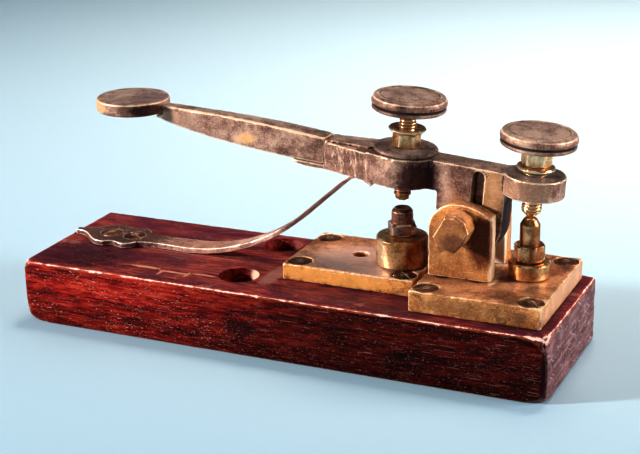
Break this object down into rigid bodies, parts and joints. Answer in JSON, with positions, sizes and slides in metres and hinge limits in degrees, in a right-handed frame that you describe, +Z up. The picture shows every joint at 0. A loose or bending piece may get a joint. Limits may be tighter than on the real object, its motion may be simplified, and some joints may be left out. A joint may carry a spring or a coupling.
{
  "type": "morse key",
  "caption": "Antique lever telegraph key: brass lever with finger disc, thumbscrews, standard, anvils and a leaf spring on a rectangular wood base",
  "frame": {"origin": "centre of the wood base's underside", "axes": "+X along the base from the finger end to the standard, +Y to the back, +Z up"},
  "size_m": [0.175, 0.054, 0.0807],
  "materials": {
    "mahogany": "red-stained open-grained wood, old worn varnish, bare scuffs along its edges",
    "plate_brass": "tarnished flat brass with filing scratches, pinkish brown on top and golden at the sides",
    "turned_brass": "turned and polished golden brass with darker tarnish in its corners",
    "aged_brass": "dull brown-pink aged brass with bright worn edges",
    "dark_steel": "browned old steel",
    "spring_brass": "dark tarnished rolled brass with bright edges"
  },
  "bodies": {
    "base": {"wood_base": "mahogany", "front_plate": "plate_brass", "front_plate_screw_1": "dark_steel", "front_plate_screw_2": "dark_steel", "front_plate_screw_3": "dark_steel", "front_plate_screw_4": "dark_steel", "rear_plate": "plate_brass", "rear_plate_screw_1": "dark_steel", "rear_plate_screw_2": "dark_steel", "rear_plate_screw_3": "dark_steel", "rear_plate_screw_4": "dark_steel", "front_cheek": "plate_brass", "rear_cheek": "plate_brass", "cheek_screw_1": "dark_steel", "cheek_screw_2": "dark_steel", "cheek_screw_3": "dark_steel", "cheek_screw_4": "dark_steel", "pivot_bolt": "plate_brass", "pivot_nut": "plate_brass", "contact_anvil_post": "turned_brass", "contact_anvil_nut": "dark_steel", "contact_anvil_pin": "dark_steel", "contact_anvil_screw": "dark_steel", "stop_anvil_post": "turned_brass", "stop_anvil_nut": "turned_brass", "stop_anvil_pin": "turned_brass", "stop_anvil_screw": "dark_steel", "return_spring": "spring_brass", "spring_screw_1": "dark_steel", "spring_screw_2": "dark_steel"},
    "lever": {"lever_body": "aged_brass", "lever_arm": "aged_brass", "finger_disc": "aged_brass", "contact_washer": "aged_brass"},
    "contact_travel": {"contact_screw_tip": "turned_brass"},
    "contact_thumbscrew": {"contact_screw": "aged_brass"},
    "contact_nut": {"contact_lock_nut": "turned_brass"},
    "stop_travel": {"stop_screw_tip": "turned_brass"},
    "stop_thumbscrew": {"stop_screw": "aged_brass"},
    "stop_nut": {"stop_lock_nut": "turned_brass"}
  },
  "joints": [
    {"name": "lever_pivot", "type": "hinge", "parent": "base", "child": "lever", "pos_m": [0.0542, 0.0016, 0.044], "axis": [0, -1, 0], "range_deg": [0, 6], "stiffness_Nm_per_rad": 0.6, "springref_deg": -11.46, "deforming": ["return_spring"]},
    {"name": "contact_screw_travel", "type": "slide", "parent": "lever", "child": "contact_travel", "axis": [0.0767, 0, 0.9971], "range_m": [-0.001, 0.002]},
    {"name": "contact_screw_turn", "type": "hinge", "parent": "contact_travel", "child": "contact_thumbscrew", "pos_m": [0.03276, 0.0016, 0.04565], "axis": [0.0767, 0, 0.9971], "range_deg": [-360, 720]},
    {"name": "contact_nut_turn", "type": "hinge", "parent": "lever", "child": "contact_nut", "pos_m": [0.03276, 0.0016, 0.04565], "axis": [0.0767, 0, 0.9971], "range_deg": [0, 180]},
    {"name": "stop_screw_travel", "type": "slide", "parent": "lever", "child": "stop_travel", "axis": [0.0767, 0, 0.9971], "range_m": [0, 0.002]},
    {"name": "stop_screw_turn", "type": "hinge", "parent": "stop_travel", "child": "stop_thumbscrew", "pos_m": [0.07304, 0.0016, 0.04255], "axis": [0.0767, 0, 0.9971], "range_deg": [0, 720]},
    {"name": "stop_nut_turn", "type": "hinge", "parent": "lever", "child": "stop_nut", "pos_m": [0.07304, 0.0016, 0.04255], "axis": [0.0767, 0, 0.9971], "range_deg": [0, 180]}
  ],
  "couplings": [
    {"joint": "contact_screw_travel", "follows": "contact_screw_turn", "m_per_rad": 0.00015915},
    {"joint": "stop_screw_travel", "follows": "stop_screw_turn", "m_per_rad": 0.00015915}
  ]
}
